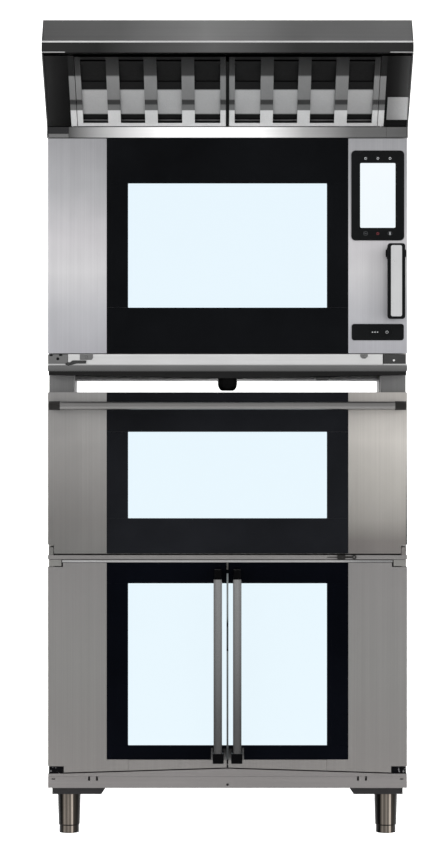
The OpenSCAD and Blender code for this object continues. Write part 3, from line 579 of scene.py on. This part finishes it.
BY_NODE = {
    "hood_canopy": STEEL_HOOD, "hood_filter_frame": CARRIER,
    "hood_filter_left": FILTER, "hood_filter_right": FILTER,
    "hood_blower_box": GALV, "hood_blower_wheel": GALV, "hood_collar": GALV,
    "oven_casing": STEEL_CASE, "oven_liner": STEEL_INSIDE, "oven_baffle": STEEL_INSIDE,
    "oven_fan_left": STEEL_INSIDE, "oven_fan_right": STEEL_INSIDE, "oven_heaters": DARK,
    "oven_fascia": STEEL_PALE, "oven_drip_trough": TROUGH, "oven_hinge_blocks": PLATED, "oven_risers": GALV,
    "oven_door_shell": STEEL_OVEN, "oven_door_glass": GLASS_OVEN, "oven_door_window": WINDOW,
    "oven_bezels": BLACK, "oven_screen": SCREEN, "oven_handle_bracket": BLACK, "oven_handle_loop": BLACK,
    "oven_handle_face": STEEL_FACE,
    "deck_casing": STEEL_SIDE, "deck_liner": STEEL_INSIDE, "deck_stone": STONE, "deck_heaters": DARK,
    "deck_sill": STEEL_SILL, "deck_hinge_blocks": STEEL_DECK, "deck_vent_lever": ENDS,
    "deck_door_shell": STEEL_DECK, "deck_door_glass": GLASS_DECK, "deck_door_window": WINDOW,
    "deck_handle_bar": STEEL_BAR, "deck_handle_ends": ENDS,
    "prover_casing": STEEL_STRIP, "prover_liner": STEEL_INSIDE, "prover_fan": GALV,
    "prover_fascia": STEEL_FASCIA, "prover_hinge_blocks": STEEL_PIVOT,
    "insulation": WOOL, "door_gaskets": RUBBER, "tray_racks": STEEL_INSIDE, "fan_motors": DARK,
    "leg_plates": PLATE, "leg_tubes": STEEL_LEG,
}
for side in ("left", "right"):
    BY_NODE[f"prover_{side}_shell"] = STEEL_PROVER
    BY_NODE[f"prover_{side}_glass"] = GLASS_PROVER
    BY_NODE[f"prover_{side}_window"] = WINDOW
    BY_NODE[f"prover_{side}_handle"] = STEEL_HANDLE
    BY_NODE[f"foot_front_{side}"] = STEEL_LEG
    BY_NODE[f"foot_back_{side}"] = STEEL_LEG

# widths of the softened edges
EDGE = {
    "oven_door_shell": 0.0012, "deck_door_shell": 0.0012,
    "prover_left_shell": 0.0012, "prover_right_shell": 0.0012, "prover_fascia": 0.0012,
    "oven_handle_loop": 0.0012, "deck_handle_ends": 0.0012, "leg_plates": 0.0012,
    "oven_risers": 0.001, "oven_hinge_blocks": 0.001, "prover_hinge_blocks": 0.001,
    "oven_handle_face": 0.0009, "hood_canopy": 0.0008,
    "oven_casing": 0.0008, "deck_casing": 0.0008, "prover_casing": 0.0008,
    "oven_fascia": 0.0008, "deck_sill": 0.0008, "oven_bezels": 0.0007,
    "hood_filter_left": 0.0005, "hood_filter_right": 0.0005, "deck_stone": 0.002,
}


def dress(obj, material, edge=None):
    """Give an object its material and, where a width is given, softened edges."""
    obj.data.materials.clear()
    obj.data.materials.append(material)
    if edge:
        b = obj.modifiers.new("edge", "BEVEL")
        b.width = edge
        b.segments = 2
        b.limit_method = "ANGLE"
        b.angle_limit = math.radians(40)
        b.harden_normals = False


for name, obj in NODES.items():
    dress(obj, BY_NODE[name], EDGE.get(name))


# ------------------------------------------------------------------ building small pieces
def piece(name, bm, material, node, edge=None, smooth=False):
    """Turn a mesh under construction into a piece that rides with a node."""
    me = bpy.data.meshes.new(name)
    bmesh.ops.recalc_face_normals(bm, faces=bm.faces)
    bm.to_mesh(me)
    bm.free()
    o = bpy.data.objects.new(name, me)
    scene.collection.objects.link(o)
    dress(o, material, edge)
    if smooth:
        for p in me.polygons:
            p.use_smooth = True
    body = BODY_OF[node]
    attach(o, body)


def add_box(bm, x0, x1, y0, y1, z0, z1):
    verts = bmesh.ops.create_cube(bm, size=1.0)["verts"]
    bmesh.ops.scale(bm, vec=(x1 - x0, y1 - y0, z1 - z0), verts=verts)
    bmesh.ops.translate(bm, vec=((x0 + x1) / 2, (y0 + y1) / 2, (z0 + z1) / 2), verts=verts)


def add_plate(bm, outline, y0, y1):
    """Flat plate from an outline of (x, z) points."""
    front = [bm.verts.new((x, y0, z)) for x, z in outline]
    back = [bm.verts.new((x, y1, z)) for x, z in outline]
    bm.faces.new(front)
    bm.faces.new(back[::-1])
    for i in range(len(outline)):
        j = (i + 1) % len(outline)
        bm.faces.new((front[j], front[i], back[i], back[j]))


def shift(outline, x, z):
    return [(x + dx, z + dz) for dx, dz in outline]


def add_turned(bm, profile, origin, axis, n):
    """Surface of revolution about an axis: the profile is (radius, height) from foot to top."""
    turn = Vector((0, 0, 1)).rotation_difference(Vector(axis)).to_matrix().to_4x4()
    place = Matrix.Translation(origin) @ turn
    rings = []
    for r, h in profile:
        if r == 0:
            rings.append([bm.verts.new(place @ Vector((0, 0, h)))])
            continue
        angles = [2 * math.pi * i / n for i in range(n)]
        rings.append([bm.verts.new(place @ Vector((r * math.cos(a), r * math.sin(a), h))) for a in angles])
    for a, b in zip(rings, rings[1:]):
        for i in range(n):
            j = (i + 1) % n
            if len(a) == 1:
                bm.faces.new((a[0], b[i], b[j]))
            elif len(b) == 1:
                bm.faces.new((a[i], a[j], b[0]))
            else:
                bm.faces.new((a[i], a[j], b[j], b[i]))


def add_screw(bm, at, axis, r=0.0045, h=0.002):
    """Domed screw head with a sunk socket."""
    rim = [(r * 0.98, -0.0004), (r, 0.0), (r, h * 0.3)]
    dome = [(r * 0.9, h * 0.75), (r * 0.7, h), (r * 0.42, h * 1.05)]
    socket = [(r * 0.36, h * 0.4), (0.0, h * 0.35)]
    add_turned(bm, rim + dome + socket, at, axis, 18)


def add_ring(bm, x, y, z, r, width=0.0007):
    """Thin printed ring, facing the front."""
    n = 20
    inner = []
    outer = []
    for i in range(n):
        a = 2 * math.pi * i / n
        inner.append(bm.verts.new((x + (r - width) * math.cos(a), y, z + (r - width) * math.sin(a))))
        outer.append(bm.verts.new((x + r * math.cos(a), y, z + r * math.sin(a))))
    for i in range(n):
        j = (i + 1) % n
        bm.faces.new((inner[i], inner[j], outer[j], outer[i]))


FORWARD = (0, -1, 0)


# ------------------------------------------------------------------ oven door: control panel marks
def panel_marks():
    """Generic rings, bars and dots round the screen; no lettering."""
    y = ends("oven_bezels", "Y")[0] - 0.0003
    middle = sum(ends("oven_screen", "X")) / 2
    foot, top = ends("oven_screen", "Z")
    pitch = 0.029

    def bar(bm, x, half, low, high):
        add_box(bm, x - half, x + half, y, y + 0.0003, low, high)

    bm = bmesh.new()
    for k in (-1, 0, 1):
        add_ring(bm, middle + k * pitch, y, top + 0.011, 0.0030)
        bar(bm, middle + k * pitch, 0.0004, top + 0.0105, top + 0.0135)
    bar(bm, middle + pitch, 0.0008, foot - 0.0170, foot - 0.0100)
    port_z = ends("oven_bezels", "Z")[0] + 0.0195
    for k in range(3):
        x = middle - 0.014 + k * 0.006
        add_box(bm, x, x + 0.003, y + 0.0022, y + 0.0028, port_z - 0.001, port_z + 0.001)
    add_ring(bm, middle + 0.022, y + 0.0022, port_z, 0.0032)
    piece("panel_marks", bm, MARK_WHITE, "oven_screen")

    bm = bmesh.new()
    for k in (-1, 1):
        add_ring(bm, middle + k * pitch, y, foot - 0.0135, 0.0050)
    bar(bm, middle - pitch, 0.0025, foot - 0.0141, foot - 0.0129)
    piece("panel_dim_marks", bm, MARK_DIM, "oven_screen")

    bm = bmesh.new()
    add_ring(bm, middle, y, foot - 0.014, 0.0032, 0.0012)
    bar(bm, middle, 0.0005, foot - 0.0135, foot - 0.0105)
    piece("panel_power_mark", bm, MARK_RED, "oven_screen")


# ------------------------------------------------------------------ prover: plates at the handles' lower ends
def catch_plates():
    """U-shaped plates round the lower ends of the prover handles."""
    outline = [(0.0002, -0.0003), (0.0002, 0.0255), (0.0100, 0.0255), (0.0100, 0.0150), (0.0325, 0.0150),
               (0.0325, 0.0275), (0.0372, 0.0275), (0.0372, -0.0003)]
    for side, name in ((-1, "left"), (1, "right")):
        bm = bmesh.new()
        points = [(side * x, z) for x, z in shift(outline, SEAM, PROVER_GLASS_FOOT)]
        add_plate(bm, points, DOOR_FRONT - 0.0012, DOOR_FRONT + 0.0002)
        piece(f"prover_{name}_catch_plate", bm, STEEL_CATCH, f"prover_{name}_glass", 0.0003)


# ------------------------------------------------------------------ oven: fittings on the fascia
# distances are to the right of the fascia's left edge (or left of its right edge) and down from its top
def left_bracket():
    """Plated bracket with one cut corner and a pin."""
    bm = bmesh.new()
    outline = [(0.076, -0.0135), (0.104, -0.0135), (0.1075, -0.009), (0.1075, -0.0004), (0.076, -0.0004)]
    add_plate(bm, shift(outline, FASCIA_LEFT, FASCIA_TOP), FASCIA_FRONT - 0.0022, FASCIA_FRONT + 0.0002)
    pin = [(0.0032, 0.0), (0.0032, 0.0012), (0.0022, 0.0018), (0.0, 0.0018)]
    add_turned(bm, pin, (FASCIA_LEFT + 0.092, FASCIA_FRONT - 0.0022, FASCIA_TOP - 0.007), FORWARD, 16)
    piece("oven_left_bracket", bm, PLATED, "oven_hinge_blocks", 0.0005)


def left_lever():
    """Cranked lever on a pivot, under the left side of the oven door."""
    bm = bmesh.new()
    outline = [(0.042, -0.0255), (0.056, -0.0255), (0.068, -0.0224), (0.091, -0.0224), (0.0915, -0.0148),
               (0.059, -0.0148), (0.054, -0.0188), (0.042, -0.0218)]
    add_plate(bm, shift(outline, FASCIA_LEFT, FASCIA_TOP), FASCIA_FRONT - 0.0045, FASCIA_FRONT - 0.0018)
    pivot = [(0.0042, 0.0), (0.0042, 0.0016), (0.003, 0.0024), (0.0, 0.0024)]
    add_turned(bm, pivot, (FASCIA_LEFT + 0.049, FASCIA_FRONT - 0.0045, FASCIA_TOP - 0.0232), FORWARD, 16)
    piece("oven_left_lever", bm, GREY, "oven_hinge_blocks", 0.0006)


def door_latch():
    """Small tongue with a rounded foot, under the free side of the oven door."""
    bm = bmesh.new()
    x = FASCIA_RIGHT - 0.1025
    outline = [(-0.009, -0.0004), (-0.009, -0.005), (-0.006, -0.0088), (-0.003, -0.0105), (0.003, -0.0105),
               (0.0055, -0.0088), (0.009, -0.005), (0.009, -0.0004)]
    add_plate(bm, shift(outline, x, FASCIA_TOP), FASCIA_FRONT - 0.0030, FASCIA_FRONT + 0.0002)
    rivet = [(0.0025, 0.0), (0.0025, 0.001), (0.0, 0.0014)]
    add_turned(bm, rivet, (x, FASCIA_FRONT - 0.0030, FASCIA_TOP - 0.006), FORWARD, 14)
    piece("oven_door_latch", bm, PLATED, "oven_hinge_blocks", 0.0005)


def hinge_recess_shades():
    """Dark slots and a bore in the left hinge block."""
    bm = bmesh.new()
    for x in (FASCIA_LEFT + 0.0035, FASCIA_LEFT + 0.0265):
        add_box(bm, x, x + 0.008, FASCIA_FRONT - 0.0012, FASCIA_FRONT,
                FASCIA_TOP - 0.0045, FASCIA_TOP - 0.0002)
    bore = [(0.0036, 0.0), (0.0036, 0.0006), (0.0, 0.0008)]
    add_turned(bm, bore, (FASCIA_LEFT + 0.0235, FASCIA_FRONT - 0.0009, FASCIA_TOP - 0.011), FORWARD, 14)
    piece("oven_hinge_recess_shades", bm, BLACK, "oven_hinge_blocks", 0.0004)


def right_hinge_cover():
    """Cover plate at the right end of the fascia, and its screw."""
    bm = bmesh.new()
    add_box(bm, FASCIA_RIGHT - 0.056, FASCIA_RIGHT - 0.0039, FASCIA_FRONT - 0.0022, FASCIA_FRONT - 0.0009,
            FASCIA_TOP - 0.0226, FASCIA_TOP - 0.0006)
    piece("oven_right_hinge_cover", bm, GREY, "oven_hinge_blocks", 0.0006)
    bm = bmesh.new()
    at = (FASCIA_RIGHT - 0.0315, FASCIA_FRONT - 0.0022, FASCIA_TOP - 0.0146)
    add_screw(bm, at, FORWARD, 0.0027, 0.0012)
    piece("oven_right_hinge_screw", bm, STEEL_SCREW, "oven_hinge_blocks", smooth=True)


def trough_nub():
    """Rounded cross pin under the drip trough."""
    bm = bmesh.new()
    profile = [(0.0, 0.0), (0.0030, 0.001), (0.0045, 0.006), (0.0045, 0.028), (0.0030, 0.033), (0.0, 0.034)]
    at = (HALF - 0.221, ends("oven_drip_trough", "Y")[0] + 0.012, OVEN_FOOT - 0.0088)
    add_turned(bm, profile, at, (1, 0, 0), 16)
    piece("trough_nub", bm, GREY, "oven_drip_trough", 0.0005)


# ------------------------------------------------------------------ hood: dark sheets of painted shade in the filters, and screws
def shade_sheets_behind_slots():
    """Four thin slanted dark sheets behind the upper slots of each filter, painted shade for the dark inside
    of the filter.
    """
    pitch = 0.0815
    width = 0.0805
    ring = []
    for up, depth in ((0.122, 0.0124), (0.1842, 0.0124), (0.1842, 0.0134), (0.122, 0.0134)):
        ring.append((LEAN_Y - up * math.sin(LEAN) + depth * math.cos(LEAN),
                     LEAN_Z + up * math.cos(LEAN) + depth * math.sin(LEAN)))
    for side, node in ((-1, "hood_filter_left"), (1, "hood_filter_right")):
        bm = bmesh.new()
        for k in range(4):
            x = FILTER_INNER + 0.0138 + k * pitch
            inner = [bm.verts.new((side * x, y, z)) for y, z in ring]
            outer = [bm.verts.new((side * (x + width), y, z)) for y, z in ring]
            bm.faces.new(inner)
            bm.faces.new(outer[::-1])
            for i in range(4):
                j = (i + 1) % 4
                bm.faces.new((inner[j], inner[i], outer[i], outer[j]))
        piece(node + "_slot_shade_sheet", bm, DARK_SLOT_SHADE, node)


def hood_screws():
    """Screws on the roof, the back and the sides of the hood."""
    (x0, y0, z0), (x1, y1, z1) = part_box("hood_canopy")
    bm = bmesh.new()
    for x in (x0 + 0.03, x0 + 0.23, x1 - 0.23, x1 - 0.03):
        for y in (y0 + 0.08, y0 + 0.59, y1 - 0.03):
            add_screw(bm, (x, y, z1), (0, 0, 1))
        add_screw(bm, (x, y1, z1 - 0.02), (0, 1, 0))
        add_screw(bm, (x, y1, z0 + 0.02), (0, 1, 0))
    for side, x in ((-1, x0), (1, x1)):
        for y in (y0 + 0.27, y0 + 0.67, y1 - 0.07):
            add_screw(bm, (x, y, z1 - 0.02), (side, 0, 0))
            add_screw(bm, (x, y, z0 + 0.02), (side, 0, 0))
    piece("hood_screws", bm, STEEL_SCREW, "hood_canopy", smooth=True)


# ------------------------------------------------------------------ each cabinet: back and sides
def case_screws(case):
    (x0, y0, z0), (x1, y1, z1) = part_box(case)
    x_middle = (x0 + x1) / 2
    z_middle = (z0 + z1) / 2
    bm = bmesh.new()
    for x in (x0 + 0.018, x_middle, x1 - 0.018):
        for z in (z0 + 0.016, z_middle, z1 - 0.016):
            if (x, z) != (x_middle, z_middle):
                add_screw(bm, (x, y1, z), (0, 1, 0))
    for side, x in ((-1, x0), (1, x1)):
        for y in (y0 + 0.12, (y0 + y1) / 2, y1 - 0.03):
            for z in (z0 + 0.018, z1 - 0.018):
                add_screw(bm, (x, y, z), (side, 0, 0))
    piece(case + "_screws", bm, STEEL_SCREW, case, smooth=True)


def case_louvres(case):
    """Two fields of seven pressed louvres in the back sheet, each pulled in to nothing at its ends."""
    back = ends(case, "Y")[1]
    middle = sum(ends(case, "Z")) / 2
    section = [(0.0, 0.0), (0.0035, 0.0015), (0.0058, 0.005), (0.0062, 0.0085), (0.0, 0.0095)]
    stations = ((-1.0, 0.02), (-0.93, 0.8), (-0.86, 1.0), (0.86, 1.0), (0.93, 0.8), (1.0, 0.02))
    half = 0.055
    bm = bmesh.new()
    for x in (-0.21, 0.21):
        for row in range(7):
            z = middle - 0.05 + row * 0.017
            loops = []
            for along, swell in stations:
                points = [(x + along * half, back + 0.0002 + out * swell, z + up) for out, up in section]
                loops.append([bm.verts.new(point) for point in points])
            for a, b in zip(loops, loops[1:]):
                for q in range(len(section) - 1):
                    bm.faces.new((a[q], a[q + 1], b[q + 1], b[q]))
            bm.faces.new(loops[0])
            bm.faces.new(loops[-1][::-1])
    piece(case + "_louvres", bm, PRESSED, case)


def case_service_panels(case):
    """A raised panel with sloped edges in each side of the cabinet."""
    (x0, y0, z0), (x1, y1, z1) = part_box(case)
    y0, y1, z0, z1 = y0 + 0.36, y1 - 0.10, z0 + 0.06, z1 - 0.06
    slope = 0.006
    bm = bmesh.new()
    for side, x in ((-1, x0), (1, x1)):
        base = []
        top = []
        for y, z, into_y, into_z in ((y0, z0, 1, 1), (y1, z0, -1, 1), (y1, z1, -1, -1), (y0, z1, 1, -1)):
            base.append(bm.verts.new((x, y, z)))
            top.append(bm.verts.new((x + side * 0.0012, y + into_y * slope, z + into_z * slope)))
        bm.faces.new(top)
        for i in range(4):
            j = (i + 1) % 4
            bm.faces.new((base[i], base[j], top[j], top[i]))
    piece(case + "_service_panels", bm, STEEL_SIDE, case)


def case_blank_plate(case):
    """Rating plate without lettering, with four raised lines."""
    left = ends(case, "X")[0] + 0.045
    back = ends(case, "Y")[1]
    foot = ends(case, "Z")[0] + 0.030
    bm = bmesh.new()
    add_box(bm, left, left + 0.085, back, back + 0.0006, foot, foot + 0.048)
    for k in range(4):
        z = foot + 0.010 + k * 0.008
        add_box(bm, left + 0.007, left + 0.055 - 0.006 * (k % 2), back + 0.0005, back + 0.0009, z, z + 0.0012)
    piece(case + "_blank_plate", bm, PLATED, case, 0.0003)


panel_marks()
catch_plates()
left_bracket()
left_lever()
door_latch()
hinge_recess_shades()
right_hinge_cover()
trough_nub()
shade_sheets_behind_slots()
for case in ("oven_casing", "deck_casing", "prover_casing"):
    case_screws(case)
    case_louvres(case)
    case_service_panels(case)
    case_blank_plate(case)
hood_screws()


# ------------------------------------------------------------------ stage, light and camera
STAGE_HALF = 14.0
STAGE_BACK = 12.0
STAGE_TOP = 12.0
STAGE_CURVE = 3.0


def paper():
    """Pale paper that glows under the tower and behind it, so that both stay white."""
    m = Mat("studio_paper")
    fibre = m.span(m.noise(2.0, detail=3.0), 0.0, 1.0, 0.3, 0.7)
    under = m.times(m.span(m.absolute(m.x), 0.85, 0.0, 0.55, 1.0),
                    m.span(m.absolute(m.calc("SUBTRACT", m.y, 0.15)), 1.0, 0.0, 0.75, 1.6))
    behind = m.span(m.y, 0.0, 0.4, 1.5, 2.1)
    m.feed(Base_Color=m.mix(fibre, (0.93, 0.93, 0.93, 1.0), (0.96, 0.96, 0.96, 1.0)),
           Emission_Strength=m.calc("ADD", under, behind))
    m.set(Roughness=0.9, Specular_IOR_Level=0.1, Emission_Color=(1.0, 1.0, 1.0, 1.0))
    return m.m


def sweep():
    """Floor that curves up into a wall behind the tower."""
    turn = STAGE_BACK - STAGE_CURVE
    profile = [(-STAGE_HALF, 0.0), (turn, 0.0)]
    for i in range(1, 13):
        a = math.pi / 2 * i / 12
        profile.append((turn + STAGE_CURVE * math.sin(a), STAGE_CURVE - STAGE_CURVE * math.cos(a)))
    profile.append((STAGE_BACK, STAGE_TOP))
    bm = bmesh.new()
    left, right = [[bm.verts.new((x, y, z)) for y, z in profile] for x in (-STAGE_HALF, STAGE_HALF)]
    for i in range(len(profile) - 1):
        bm.faces.new((left[i], right[i], right[i + 1], left[i + 1]))
    me = bpy.data.meshes.new("studio_sweep")
    bm.to_mesh(me)
    bm.free()
    for p in me.polygons:
        p.use_smooth = True
    me.materials.append(paper())
    return bpy.data.objects.new("studio_sweep", me)


def softbox(name, at, target, size, power):
    light = bpy.data.lights.new(name, "AREA")
    light.shape = "RECTANGLE"
    light.size, light.size_y = size
    light.energy = power
    o = bpy.data.objects.new(name, light)
    scene.collection.objects.link(o)
    o.location = at
    o.rotation_euler = (Vector(target) - Vector(at)).to_track_quat("-Z", "Y").to_euler()


def camera():
    """Long lens, square on to the front and level, as in the photo."""
    data = bpy.data.cameras.new("camera")
    data.sensor_width = 36.0
    data.lens = 105.0
    data.clip_end = 60
    o = bpy.data.objects.new("camera", data)
    scene.collection.objects.link(o)
    o.location = (-0.0095, -6.27, 0.981)
    o.rotation_euler = (math.radians(90), 0, 0)
    return o


floor = sweep()
scene.collection.objects.link(floor)

world = bpy.data.worlds.new("studio")
scene.world = world
world.use_nodes = True
world.node_tree.nodes["Background"].inputs["Color"].default_value = (1, 1, 1, 1)
world.node_tree.nodes["Background"].inputs["Strength"].default_value = 0.9
softbox("key_left", (-3.4, -4.6, 3.2), (0, 0, 1.0), (2.0, 3.0), 90)
softbox("fill_right", (3.8, -3.8, 1.8), (0, 0, 1.0), (1.4, 3.2), 70)
softbox("backdrop_wash", (0, 1.6, 5.5), (0, 4.5, 0.5), (6.0, 1.5), 420)
scene.camera = camera()
scene.view_settings.view_transform = "Standard"
